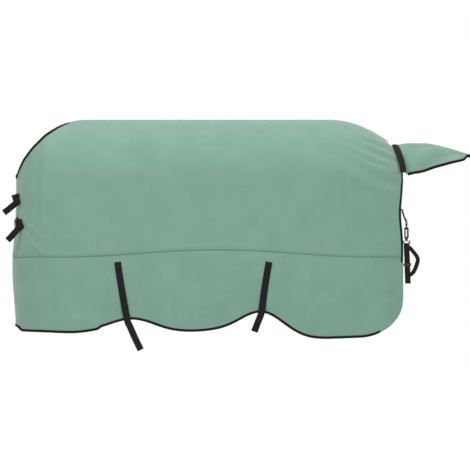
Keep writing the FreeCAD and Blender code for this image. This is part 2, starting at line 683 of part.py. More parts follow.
# ---------------------------------------------------------------- check and export
doc.recompute()
for thing in doc.Objects:
    if {"Invalid", "Error"} & set(thing.State):
        raise RuntimeError(f"{thing.Label} did not recompute: {thing.State}")
for thing in outputs:
    shape = thing.Shape
    if shape.isNull() or not shape.isValid() or len(shape.Solids) != 1:
        raise RuntimeError(f"{thing.Label} is not one valid solid")
os.makedirs("parts", exist_ok=True)
for thing in outputs:
    thing.Shape.exportStep(f"parts/{thing.Label}.step")
print(len(outputs), "sub-parts written")
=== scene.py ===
"""The visual model of the fleece horse rug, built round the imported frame. Metres."""
import bmesh
import bpy
import math
import numpy as np
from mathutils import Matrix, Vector, noise


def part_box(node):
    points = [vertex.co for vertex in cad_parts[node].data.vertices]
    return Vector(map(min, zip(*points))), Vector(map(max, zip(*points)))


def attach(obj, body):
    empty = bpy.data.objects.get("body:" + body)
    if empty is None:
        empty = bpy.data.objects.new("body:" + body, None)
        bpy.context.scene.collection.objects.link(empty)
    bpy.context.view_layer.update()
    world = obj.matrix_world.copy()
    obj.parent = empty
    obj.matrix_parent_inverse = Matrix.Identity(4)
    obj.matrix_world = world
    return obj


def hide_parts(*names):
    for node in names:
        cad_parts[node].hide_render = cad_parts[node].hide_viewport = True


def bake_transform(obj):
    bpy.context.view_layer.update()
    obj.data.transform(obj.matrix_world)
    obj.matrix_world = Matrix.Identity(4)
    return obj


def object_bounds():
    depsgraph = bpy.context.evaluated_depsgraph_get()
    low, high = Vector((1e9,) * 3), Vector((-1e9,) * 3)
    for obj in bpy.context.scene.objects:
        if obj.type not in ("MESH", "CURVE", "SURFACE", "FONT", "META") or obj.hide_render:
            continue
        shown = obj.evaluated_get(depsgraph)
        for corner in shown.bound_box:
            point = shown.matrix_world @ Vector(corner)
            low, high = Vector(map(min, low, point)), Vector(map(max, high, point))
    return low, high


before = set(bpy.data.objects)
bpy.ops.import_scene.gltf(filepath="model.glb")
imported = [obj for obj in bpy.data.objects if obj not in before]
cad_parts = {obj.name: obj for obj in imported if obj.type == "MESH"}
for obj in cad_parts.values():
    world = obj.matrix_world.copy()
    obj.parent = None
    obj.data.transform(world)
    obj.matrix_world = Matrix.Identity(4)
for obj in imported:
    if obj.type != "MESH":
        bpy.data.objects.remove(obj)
cad_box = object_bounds()
NEAR, FAR = -1, 1
SIDES = {"near": NEAR, "far": FAR}

# ------------------------------------------------------------------ sizes, read from the frame
CLOTH = 0.004
BINDING = 0.012
HALF_BACK = -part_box("spine_seam")[0].x
FRONT_REACH = 0.2365
CHEST_X = -HALF_BACK - FRONT_REACH
FLAP_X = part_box("near_chest_panel")[1].x - 0.003
REAR_X = 0.770
BACK_RADIUS = 0.26
CHEST_RADIUS = 0.26
HALF_WIDTH = 0.300
CROUP_START, CROUP_RATE = 0.440, 1.4
WITHERS_RUN, WITHERS_DROP = 0.083, 0.012
SEAM_HEIGHT, SEAM_WAVE = 0.584, 0.016
HEM_HEIGHT, HEM_STEP = 0.936, 0.032
FRONT_ARCH, FRONT_ARCH_X = 0.050, -0.430
REAR_ARCH, REAR_ARCH_X = 0.095, 0.145
ARCH_SPREAD = 0.132
CORNER_LENGTH, CORNER_HEIGHT = 0.195, 0.171
NECK_TOP, NECK_DROP, NECK_POWER = -0.007, 0.252, 1.46
REAR_TAPER_START = 0.430
SPINE_HALF = 0.007
DOCK_DROP, DOCK_WIDE = 0.122, 0.025
TAIL_REACH, TAIL_BEND = 0.343, 0.4
# heights at which the columns of the chest read their fore and aft place, from rim to hem
RIM_LEVEL, UPPER_LEVEL, SEAM_LEVEL, SKIRT_LEVEL, HEM_LEVEL = -0.3, -0.5, -0.58, -0.7, -0.9


# ------------------------------------------------------------------ the drape, by formula
def smooth(low, high, value):
    """0 below low, 1 above high, and an even S between them."""
    share = np.clip((value - low) / (high - low), 0, 1)
    return share * share * (3 - 2 * share)


def bump(centre, spread, value):
    """A bell of height 1."""
    return np.exp(-((value - centre) / spread) ** 2)


def back_line(x):
    """Height of the outside of the back."""
    croup = np.maximum(0, x - CROUP_START)
    withers = np.clip(-HALF_BACK + WITHERS_RUN - x, 0, WITHERS_RUN) / WITHERS_RUN
    return 0.005 - CROUP_RATE * croup ** 2 - WITHERS_DROP * withers ** 2


def chest_line(z):
    """How far forward the chest reaches."""
    return CHEST_X + 0.004 - 0.018 * bump(-0.660, 0.180, z)


def seam_line(x):
    """Height of the seam between side and skirt."""
    return -SEAM_HEIGHT + SEAM_WAVE * np.cos(np.pi * np.minimum(1, np.abs(x + 0.060) / 0.700))


def hem_line(x):
    """Height of the hem, with its two arches and the rounded rear corner."""
    level = -HEM_HEIGHT - HEM_STEP * smooth(-0.100, 0.420, x)
    arches = FRONT_ARCH * bump(FRONT_ARCH_X, ARCH_SPREAD, x) + REAR_ARCH * bump(REAR_ARCH_X, ARCH_SPREAD, x)
    past = np.clip((x - REAR_X + CORNER_LENGTH) / CORNER_LENGTH, 0, 1)
    corner = CORNER_HEIGHT * (1 - (1 - past ** 1.8) ** 0.5)
    wave = 0.004 * np.sin(11 * x + 1.0) - 0.008 * (smooth(-0.86, -0.66, x) - smooth(-0.592, -0.566, x))
    return level + arches + corner + 0.024 * (1 - smooth(-0.966, -0.925, x)) + wave * (1 - past)


def rear_line(z):
    """How far back the rear edge reaches."""
    dock = np.clip((z + 0.235) / 0.120, 0, 1.2)
    return REAR_X - 0.033 * dock ** 1.7 - 0.010 * bump(-0.409, 0.090, z)


def neck_line(x):
    """Height of the neck opening's rim."""
    share = np.clip((-HALF_BACK - x) / (-HALF_BACK - CHEST_X), 0, 1)
    return NECK_TOP - NECK_DROP * (1 - (1 - share ** NECK_POWER) ** (1 / NECK_POWER))


def half_width(x, z):
    """Half width before the back and the chest round it off."""
    rear = np.maximum(0, x - REAR_TAPER_START) / 0.340
    front = np.clip((-0.500 - x) / 0.300, 0, 1)
    tuck = np.maximum(0, -0.600 - z) / 0.350
    return HALF_WIDTH * (1 - 0.24 * rear ** 2 - 0.04 * front) * (1 - 0.04 * tuck ** 2)


def rounding(distance, radius):
    """0 on the outline, 1 from one radius inside it."""
    share = 1 - np.clip(distance / radius, 0, 1)
    return np.sqrt(np.maximum(0, 1 - share * share))


def side_points(x, z, side):
    """Points of the drape's outside, by their place in the side view."""
    y = half_width(x, z) * rounding(back_line(x) - z, BACK_RADIUS)
    y = y * rounding(x - chest_line(z), CHEST_RADIUS)
    return np.stack([x, side * y, z], axis=-1)


def rear_shift(x, z):
    """Bend a column so that the last one follows the rear edge."""
    share = np.maximum(0, x - 0.450) / (REAR_X - 0.450)
    return x + (rear_line(z) - REAR_X) * share ** 2


FLAP_TURN = math.acos(1 - (FLAP_X - CHEST_X - 0.004) / CHEST_RADIUS)


def column_x(u, z):
    """Fore and aft place of column u at a height: below 0 on the chest's round, then along the side."""
    turn = FLAP_TURN * np.clip(1 + u, 0, 1)
    chest = chest_line(z) + (FLAP_X - chest_line(z)) * (1 - np.cos(turn)) / (1 - math.cos(FLAP_TURN))
    along = FLAP_X + (REAR_X - FLAP_X) * np.clip(u, 0, 1)
    return np.where(u < 0, chest, rear_shift(along, z))


# ------------------------------------------------------------------ folds of the cloth
def ripple(x, z, scale, seed):
    """Soft irregular waves from -1 to 1, the same on every run."""
    flat = np.stack([x, z], axis=-1).reshape(-1, 2)
    values = [noise.noise(Vector((a * scale, b * scale, seed))) for a, b in flat]
    return np.array(values).reshape(x.shape)


def diagonal_fold(x, z, start, end, spread, height):
    """One fold that rises and fades along a line of the side view."""
    run = np.array(end) - np.array(start)
    length = np.hypot(*run)
    run = run / length
    along = ((x - start[0]) * run[0] + (z - start[1]) * run[1]) / length
    off = (x - start[0]) * run[1] - (z - start[1]) * run[0]
    bend = 0.25 * spread * np.sin(along * 4.0)
    return height * bump(0, spread, off - bend) * smooth(-0.15, 0.3, along) * (1 - smooth(0.75, 1.15, along))


CROUP_FOLDS = [
    ((0.500, -0.105), (0.745, -0.215), 0.015, 0.0100), ((0.520, -0.150), (0.758, -0.270), 0.017, 0.0110),
    ((0.585, -0.095), (0.735, -0.165), 0.012, 0.0080), ((0.470, -0.190), (0.750, -0.350), 0.026, 0.0090),
    ((0.555, -0.050), (0.715, -0.112), 0.010, 0.0075), ((0.600, -0.190), (0.762, -0.235), 0.010, 0.0060),
]
CHEST_FOLDS = [
    ((-0.905, -0.190), (-0.935, -0.520), 0.014, 0.0085), ((-0.868, -0.140), (-0.890, -0.480), 0.018, 0.0110),
    ((-0.820, -0.090), (-0.840, -0.560), 0.024, 0.0100), ((-0.760, -0.060), (-0.800, -0.420), 0.030, 0.0080),
    ((-0.935, -0.470), (-0.830, -0.600), 0.016, 0.0090), ((-0.940, -0.400), (-0.850, -0.520), 0.013, 0.0080),
]
STRAP_FOLDS = [
    ((-0.470, -0.650), (-0.520, -0.880), 0.020, 0.0040), ((-0.540, -0.640), (-0.560, -0.850), 0.025, 0.0035),
    ((0.130, -0.650), (0.080, -0.840), 0.024, 0.0040), ((0.210, -0.650), (0.250, -0.880), 0.028, 0.0045),
]


def drape(points, side):
    """Folds over a grid of the drape, as a move along its normals."""
    x, z = points[..., 0], points[..., 2]
    seed = 3.1 if side < 0 else 8.7
    shift = sum(diagonal_fold(x, z, *fold) for fold in CROUP_FOLDS + CHEST_FOLDS + STRAP_FOLDS)
    below = smooth(-0.45, -0.95, z)
    shift = shift + 0.0045 * ripple(x, z * 0.5, 5.0, seed)
    shift = shift + 0.0022 * ripple(x, z, 16.0, seed + 4)
    shift = shift + below * 0.007 * ripple(x, z * 0.15, 8.0, seed + 9)
    near_spine = smooth(0.0, 0.05, back_line(x) - z)
    return shift * near_spine * smooth(0.0, 0.04, np.abs(points[..., 1])) - 0.002


# ------------------------------------------------------------------ mesh makers
def normals_of(points):
    """Unit normals of a grid, turned away from the middle of the rug."""
    along = np.gradient(points, axis=0)
    down = np.gradient(points, axis=1)
    normal = np.cross(along, down)
    length = np.linalg.norm(normal, axis=-1, keepdims=True)
    normal = normal / np.maximum(length, 1e-12)
    middle = normal[normal.shape[0] // 2, normal.shape[1] // 2]
    place = points[points.shape[0] // 2, points.shape[1] // 2]
    outwards = np.array([0, place[1], place[2] + 0.35])
    return normal if middle @ outwards > 0 else -normal


def make_piece(name, verts, faces, material, uvs=None):
    """A mesh object with smooth shading and, if given, a UV for each vertex."""
    mesh = bpy.data.meshes.new(name)
    mesh.from_pydata([tuple(v) for v in verts], [], faces)
    mesh.validate()
    mesh.polygons.foreach_set("use_smooth", [True] * len(mesh.polygons))
    if uvs is not None:
        layer = mesh.uv_layers.new(name="UVMap")
        index = np.empty(len(mesh.loops), np.int32)
        mesh.loops.foreach_get("vertex_index", index)
        layer.data.foreach_set("uv", np.asarray(uvs, np.float32)[index].ravel())
    mesh.materials.append(material)
    piece = bpy.data.objects.new(name, mesh)
    bpy.context.scene.collection.objects.link(piece)
    return piece


def grid_lengths(points):
    """Distance along each direction of a grid, for its UVs."""
    u = np.concatenate([np.zeros((1, points.shape[1])),
                        np.cumsum(np.linalg.norm(np.diff(points, axis=0), axis=-1), axis=0)])
    v = np.concatenate([np.zeros((points.shape[0], 1)),
                        np.cumsum(np.linalg.norm(np.diff(points, axis=1), axis=-1), axis=1)], axis=1)
    return np.stack([u, v], axis=-1)


def flip_if_inside_out(piece):
    """Turn the faces of a closed mesh outwards."""
    work = bmesh.new()
    work.from_mesh(piece.data)
    bmesh.ops.recalc_face_normals(work, faces=work.faces)
    work.to_mesh(piece.data)
    work.free()


def swept(name, path, across, out, section, material):
    """A closed tube along a path: each section point is (along `across`, along `out`)."""
    path, across, out = (np.asarray(a, float) for a in (path, across, out))
    section = np.asarray(section, float)
    rings = (path[:, None, :] + across[:, None, :] * section[None, :, 0, None]
             + out[:, None, :] * section[None, :, 1, None])
    count, round_count = rings.shape[:2]
    verts = rings.reshape(-1, 3)
    length = np.concatenate([[0], np.cumsum(np.linalg.norm(np.diff(path, axis=0), axis=1))])
    uvs = np.stack([np.repeat(length, round_count), np.tile(section[:, 0], count)], axis=-1)
    faces = []
    for i in range(count - 1):
        for j in range(round_count):
            k = (j + 1) % round_count
            faces.append((i * round_count + j, i * round_count + k,
                          (i + 1) * round_count + k, (i + 1) * round_count + j))
    faces.append(tuple(range(round_count)))
    faces.append(tuple((count - 1) * round_count + j for j in reversed(range(round_count))))
    piece = make_piece(name, verts, faces, material, uvs)
    flip_if_inside_out(piece)
    return piece


def rounded_section(width, thick, corners=5):
    """A flat section with rounded edges, as (across, out) points."""
    radius = thick / 2
    points = []
    for side, start in ((1, -math.pi / 2), (-1, math.pi / 2)):
        for i in range(corners):
            turn = start + math.pi * i / (corners - 1)
            points.append((side * (width / 2 - radius) + radius * math.cos(turn),
                           radius * math.sin(turn)))
    inner = [(share * (width / 2 - radius), radius) for share in (0.6, 0.2, -0.2, -0.6)]
    lower = [(-share * (width / 2 - radius), -radius) for share in (0.6, 0.2, -0.2, -0.6)]
    return points[:corners] + inner + points[corners:] + lower


def spline(points, steps=8):
    """A smooth path through a few points (Catmull-Rom)."""
    points = [np.asarray(p, float) for p in points]
    points = [2 * points[0] - points[1]] + points + [2 * points[-1] - points[-2]]
    path = []
    for a, b, c, d in zip(points, points[1:], points[2:], points[3:]):
        for i in range(steps):
            t = i / steps
            path.append(0.5 * (2 * b + (c - a) * t + (2 * a - 5 * b + 4 * c - d) * t * t
                               + (3 * b - a - 3 * c + d) * t ** 3))
    path.append(points[-2])
    return np.array(path)


def strap(name, points, facing, width, thick, material, steps=8):
    """Webbing along a path. facing is the direction its face looks in, for all or each point."""
    path = spline(points, steps)
    tangent = np.gradient(path, axis=0)
    tangent /= np.linalg.norm(tangent, axis=1, keepdims=True)
    facing = np.asarray(facing, float)
    if facing.ndim == 1:
        facing = np.tile(facing, (len(path), 1))
    else:
        facing = spline(facing, steps)
    across = np.cross(tangent, facing)
    across /= np.linalg.norm(across, axis=1, keepdims=True)
    out = np.cross(across, tangent)
    return swept(name, path, across, out, rounded_section(width, thick), material)


def outward(x, z, side):
    """Unit normals of the drape, by the slope of its outline."""
    step = 1e-4

    def reach(a, b):
        return np.abs(side_points(a, b, 1)[..., 1])

    slope_x = (reach(x + step, z) - reach(x - step, z)) / (2 * step)
    slope_z = (reach(x, z + step) - reach(x, z - step)) / (2 * step)
    normal = np.stack([-slope_x, np.full(x.shape, float(side)), -slope_z], axis=-1)
    return normal / np.linalg.norm(normal, axis=-1, keepdims=True)


def on_drape(x, z, side, lift=0.0):
    """Points of the folded cloth's outside, and its normals there."""
    x, z = np.asarray(x, float), np.asarray(z, float)
    points = side_points(x, z, side)
    normal = outward(x, z, side)
    return points + normal * (drape(points, side) + lift)[..., None], normal


def shell(name, points, normal, material, thick=CLOTH):
    """A closed sheet of cloth from outer points and their normals."""
    count_u, count_v = points.shape[:2]
    verts = np.concatenate([points.reshape(-1, 3), (points - normal * thick).reshape(-1, 3)])
    uvs = np.concatenate([grid_lengths(points).reshape(-1, 2)] * 2)
    total = count_u * count_v
    index = np.arange(total).reshape(count_u, count_v)
    quads = np.stack([index[:-1, :-1], index[1:, :-1], index[1:, 1:], index[:-1, 1:]], axis=-1).reshape(-1, 4)
    rim = np.concatenate([index[:, 0], index[-1, 1:], index[-2::-1, -1], index[0, -2:0:-1]])
    following = np.roll(rim, -1)
    walls = np.stack([following, rim, rim + total, following + total], axis=-1)
    faces = quads.tolist() + (quads[:, ::-1] + total).tolist() + walls.tolist()
    piece = make_piece(name, verts, faces, material, uvs)
    flip_if_inside_out(piece)
    return piece


# ------------------------------------------------------------------ finishes
def finish_of(name, build, **sockets):
    """A material: build adds its nodes, and sockets holds the shader's constants."""
    material = bpy.data.materials.new(name)
    material.use_nodes = True
    tree = material.node_tree
    shader = tree.nodes["Principled BSDF"]
    for socket, value in sockets.items():
        shader.inputs[socket.replace("_", " ")].default_value = value
    build(tree, shader)
    return material


def node(tree, kind, links=(), **settings):
    """Add a node, set its constants by name and link its inputs."""
    made = tree.nodes.new(kind)
    for key, value in settings.items():
        if hasattr(made, key):
            setattr(made, key, value)
        else:
            made.inputs[key.replace("_", " ")].default_value = value
    for socket, source in dict(links).items():
        tree.links.new(source, made.inputs[socket])
    return made


def two_tones(tree, mask, dark, light, low=0.35, high=0.65):
    """A colour that runs from dark to light with a mask."""
    ramp = node(tree, "ShaderNodeValToRGB", {"Fac": mask})
    ramp.color_ramp.elements[0].position, ramp.color_ramp.elements[1].position = low, high
    ramp.color_ramp.elements[0].color, ramp.color_ramp.elements[1].color = (*dark, 1), (*light, 1)
    return ramp.outputs["Color"]


def fleece_nodes(tree, shader):
    """Short brushed pile: clumps of fibres, faint patches where it has been stroked the other way."""
    place = node(tree, "ShaderNodeTexCoord").outputs["Object"]
    patch = node(tree, "ShaderNodeTexNoise", {"Vector": place}, Scale=9.0, Detail=5.0, Roughness=0.6)
    pile = node(tree, "ShaderNodeTexNoise", {"Vector": place}, Scale=420.0, Detail=6.0, Roughness=0.7)
    clump = node(tree, "ShaderNodeTexNoise", {"Vector": place}, Scale=120.0, Detail=4.0, Roughness=0.65)
    base = two_tones(tree, patch.outputs["Fac"], FLEECE_DARK, FLEECE_LIGHT)
    speck = two_tones(tree, pile.outputs["Fac"], (0.80, 0.80, 0.80), (1.0, 1.0, 1.0), 0.3, 0.6)
    mixed = node(tree, "ShaderNodeMix", data_type="RGBA", blend_type="MULTIPLY")
    mixed.inputs["Factor"].default_value = 1.0
    tree.links.new(base, mixed.inputs[6])
    tree.links.new(speck, mixed.inputs[7])
    tree.links.new(mixed.outputs[2], shader.inputs["Base Color"])
    soft = node(tree, "ShaderNodeBump", {"Height": clump.outputs["Fac"]}, Strength=0.35, Distance=0.0016)
    fine = node(tree, "ShaderNodeBump", {"Height": pile.outputs["Fac"], "Normal": soft.outputs["Normal"]},
                Strength=0.5, Distance=0.0007)
    tree.links.new(fine.outputs["Normal"], shader.inputs["Normal"])


def weave_nodes(dark, light, across, along, depth):
    """A woven tape on its own UVs: ribs along it, crossed by weft ridges."""
    def build(tree, shader):
        uv = node(tree, "ShaderNodeTexCoord").outputs["UV"]
        ribs = node(tree, "ShaderNodeTexWave", {"Vector": uv}, Scale=across, Distortion=0.6, Detail=1.0)
        ribs.bands_direction = "Y"
        weft = node(tree, "ShaderNodeTexWave", {"Vector": uv}, Scale=along, Distortion=0.4, Detail=1.0)
        weft.bands_direction = "X"
        both = node(tree, "ShaderNodeMath", operation="MULTIPLY")
        tree.links.new(ribs.outputs["Fac"], both.inputs[0])
        tree.links.new(weft.outputs["Fac"], both.inputs[1])
        lint = node(tree, "ShaderNodeTexNoise", {"Vector": uv}, Scale=60.0, Detail=6.0)
        cover = node(tree, "ShaderNodeMath", operation="MULTIPLY_ADD")
        tree.links.new(both.outputs[0], cover.inputs[0])
        tree.links.new(lint.outputs["Fac"], cover.inputs[2])
        cover.inputs[1].default_value = 0.35
        tree.links.new(two_tones(tree, cover.outputs[0], dark, light, 0.4, 0.9), shader.inputs["Base Color"])
        bump_node = node(tree, "ShaderNodeBump", {"Height": both.outputs[0]}, Strength=0.6, Distance=depth)
        tree.links.new(bump_node.outputs["Normal"], shader.inputs["Normal"])
    return build


def steel_nodes(tree, shader):
    """Nickel-plated steel with fine scuffs and dulled patches."""
    place = node(tree, "ShaderNodeTexCoord").outputs["Object"]
    scuff = node(tree, "ShaderNodeTexNoise", {"Vector": place}, Scale=260.0, Detail=8.0, Roughness=0.7)
    dull = node(tree, "ShaderNodeTexNoise", {"Vector": place}, Scale=40.0, Detail=3.0)
    rough = node(tree, "ShaderNodeMapRange", {"Value": dull.outputs["Fac"]}, To_Min=0.16, To_Max=0.42)
    tree.links.new(rough.outputs["Result"], shader.inputs["Roughness"])
    tree.links.new(two_tones(tree, dull.outputs["Fac"], (0.16, 0.16, 0.17), (0.34, 0.34, 0.35)),
                   shader.inputs["Base Color"])
    marks = node(tree, "ShaderNodeBump", {"Height": scuff.outputs["Fac"]}, Strength=0.15, Distance=0.0002)
    tree.links.new(marks.outputs["Normal"], shader.inputs["Normal"])


def dark_steel_nodes(tree, shader):
    """Black enamel on steel, rubbed lighter in places."""
    steel_nodes(tree, shader)
    place = node(tree, "ShaderNodeTexCoord").outputs["Object"]
    rub = node(tree, "ShaderNodeTexNoise", {"Vector": place}, Scale=90.0, Detail=5.0)
    tree.links.new(two_tones(tree, rub.outputs["Fac"], (0.008, 0.008, 0.009), (0.030, 0.030, 0.031)),
                   shader.inputs["Base Color"])


def plastic_nodes(tree, shader):
    """Moulded plastic with a fine spark-eroded grain."""
    place = node(tree, "ShaderNodeTexCoord").outputs["Object"]
    grain = node(tree, "ShaderNodeTexNoise", {"Vector": place}, Scale=900.0, Detail=2.0)
    haze = node(tree, "ShaderNodeTexNoise", {"Vector": place}, Scale=70.0, Detail=4.0)
    tree.links.new(two_tones(tree, haze.outputs["Fac"], (0.014, 0.014, 0.015), (0.03, 0.03, 0.032)),
                   shader.inputs["Base Color"])
    marks = node(tree, "ShaderNodeBump", {"Height": grain.outputs["Fac"]}, Strength=0.25, Distance=0.0002)
    tree.links.new(marks.outputs["Normal"], shader.inputs["Normal"])


FLEECE_DARK, FLEECE_LIGHT = (0.225, 0.400, 0.312), (0.246, 0.428, 0.338)
BLACK, SOFT_BLACK, GREY_BLACK = (0.0045, 0.0042, 0.0043), (0.013, 0.012, 0.012), (0.036, 0.034, 0.034)
FLEECE = finish_of("fleece_pile", fleece_nodes, Roughness=0.95, Sheen_Weight=0.35, Sheen_Roughness=0.5,
                   Specular_IOR_Level=0.1)
TAPE = finish_of("binding_tape", weave_nodes(BLACK, SOFT_BLACK, 260.0, 420.0, 0.0003),
                 Roughness=0.80, Specular_IOR_Level=0.22)
WEBBING = finish_of("strap_webbing", weave_nodes(BLACK, SOFT_BLACK, 150.0, 230.0, 0.0006),
                    Roughness=0.70, Specular_IOR_Level=0.25)
THREAD_DARK, THREAD_LIGHT = (0.13, 0.25, 0.20), (0.20, 0.34, 0.27)
GREEN_THREAD = finish_of("green_thread", weave_nodes(THREAD_DARK, THREAD_LIGHT, 900.0, 1400.0, 0.0002),
                         Roughness=0.6)
BLACK_THREAD = finish_of("black_thread", weave_nodes(SOFT_BLACK, GREY_BLACK, 900.0, 1400.0, 0.0002),
                         Roughness=0.6)
STEEL = finish_of("nickel_steel", steel_nodes, Metallic=1.0, Roughness=0.25)
DARK_STEEL = finish_of("black_enamel", dark_steel_nodes, Roughness=0.4, Specular_IOR_Level=0.3)
PLASTIC = finish_of("slider_plastic_black", plastic_nodes, Roughness=0.45)


# ------------------------------------------------------------------ baked pieces, stitches and binding
def fold_flap(piece):
    """Bake the piece's placement into its mesh, and give the piece back."""
    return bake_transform(piece)


def stitches(name, path, normal, material, length=0.0062, gap=0.0032, thick=0.0011):
    """A row of sewn stitches along a path, each a small pinched ridge."""
    path = np.asarray(path, float)
    run = np.concatenate([[0], np.cumsum(np.linalg.norm(np.diff(path, axis=0), axis=1))])
    starts = np.arange(0.002, run[-1] - length, length + gap)
    tangent = np.gradient(path, axis=0)
    tangent /= np.linalg.norm(tangent, axis=1, keepdims=True)
    normal = np.broadcast_to(np.asarray(normal, float), path.shape)
    verts, faces, uvs = [], [], []
    for start in starts:
        first = len(verts)
        for k, share in enumerate((0.0, 0.25, 0.75, 1.0)):
            at = start + share * length
            centre = np.array([np.interp(at, run, path[:, i]) for i in range(3)])
            up = np.array([np.interp(at, run, normal[:, i]) for i in range(3)])
            ahead = np.array([np.interp(at, run, tangent[:, i]) for i in range(3)])
            sideways = np.cross(ahead, up)
            size = thick * (0.35 if k in (0, 3) else 1.0) / 2
            sink = -0.0004 if k in (0, 3) else 0.0002
            for turn in range(6):
                angle = turn * math.pi / 3
                rise = up * (size * math.sin(angle) + sink)
                verts.append(centre + sideways * size * math.cos(angle) + rise)
                uvs.append((at, size * math.cos(angle)))
        for k in range(3):
            for turn in range(6):
                a, b = first + 6 * k + turn, first + 6 * k + (turn + 1) % 6
                faces.append((a, b, b + 6, a + 6))
        faces.append(tuple(range(first + 5, first - 1, -1)))
        faces.append(tuple(range(first + 18, first + 24)))
    piece = make_piece(name, verts, faces, material, uvs)
    flip_if_inside_out(piece)
    return piece


def edge_tape(name, x, z, side, outside_sign, width=BINDING, lift=0.0, thick=CLOTH + 0.0034):
    """Binding folded round an edge of the drape, given the edge's line in the side view.

    Gives the piece, and the line and normals that its row of stitches follows.
    """
    edge, normal = on_drape(x, z, side, lift)
    tangent = np.gradient(edge, axis=0)
    tangent /= np.linalg.norm(tangent, axis=1, keepdims=True)
    across = np.cross(tangent, normal) * outside_sign
    across /= np.linalg.norm(across, axis=1, keepdims=True)
    path = edge - across * (width / 2 - 0.001) - normal * (CLOTH / 2)
    piece = swept(name, path, across, normal, rounded_section(width, thick), TAPE)
    inner = path - across * (width / 2 - 0.0022) + normal * (CLOTH / 2 + 0.0017)
    return piece, inner, normal


# ------------------------------------------------------------------ the cloth panels
ARC = 0.56
COLUMNS, ROWS = ((330, 130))
FIRST_U = 0.028 / FLAP_TURN - 1
U = np.concatenate([np.linspace(FIRST_U, 0, COLUMNS // 5)[:-1], np.linspace(0, 1, COLUMNS)])
sheets = {}


def upper_grid(lap):
    """x and z of the upper shell: over the back in an arc, then down to the lap seam."""
    v = np.linspace(0, 1, ROWS)[None, :]
    u = U[:, None]
    top_x = column_x(U, np.full(U.shape, UPPER_LEVEL))
    top_x = np.where(U > 0, column_x(U, back_line(top_x)), top_x)[:, None]
    ridge = back_line(top_x)
    top = np.where(top_x > -HALF_BACK, ridge, np.minimum(ridge, neck_line(top_x)))
    start = np.arccos(1 - np.clip((ridge - top) / BACK_RADIUS, 0, 1))
    arc = ARC * (1 - start / (math.pi / 2))
    turn = start + (math.pi / 2 - start) * v / np.maximum(arc, 1e-6)
    shoulder = np.minimum(ridge - BACK_RADIUS, top)
    low = seam_line(top_x) - lap
    straight = shoulder + (low - shoulder) * (v - arc) / (1 - arc)
    z = np.where(v < arc, ridge - BACK_RADIUS * (1 - np.cos(np.clip(turn, 0, math.pi / 2))), straight)
    return column_x(u + 0 * z, z), z


def lap_ridge(x, z):
    """How far the lap seam stands proud, fading out at the rear edge."""
    return 0.0015 * bump(0, 0.011, z - seam_line(x) - 0.002) * smooth(REAR_X, REAR_X - 0.030, x)


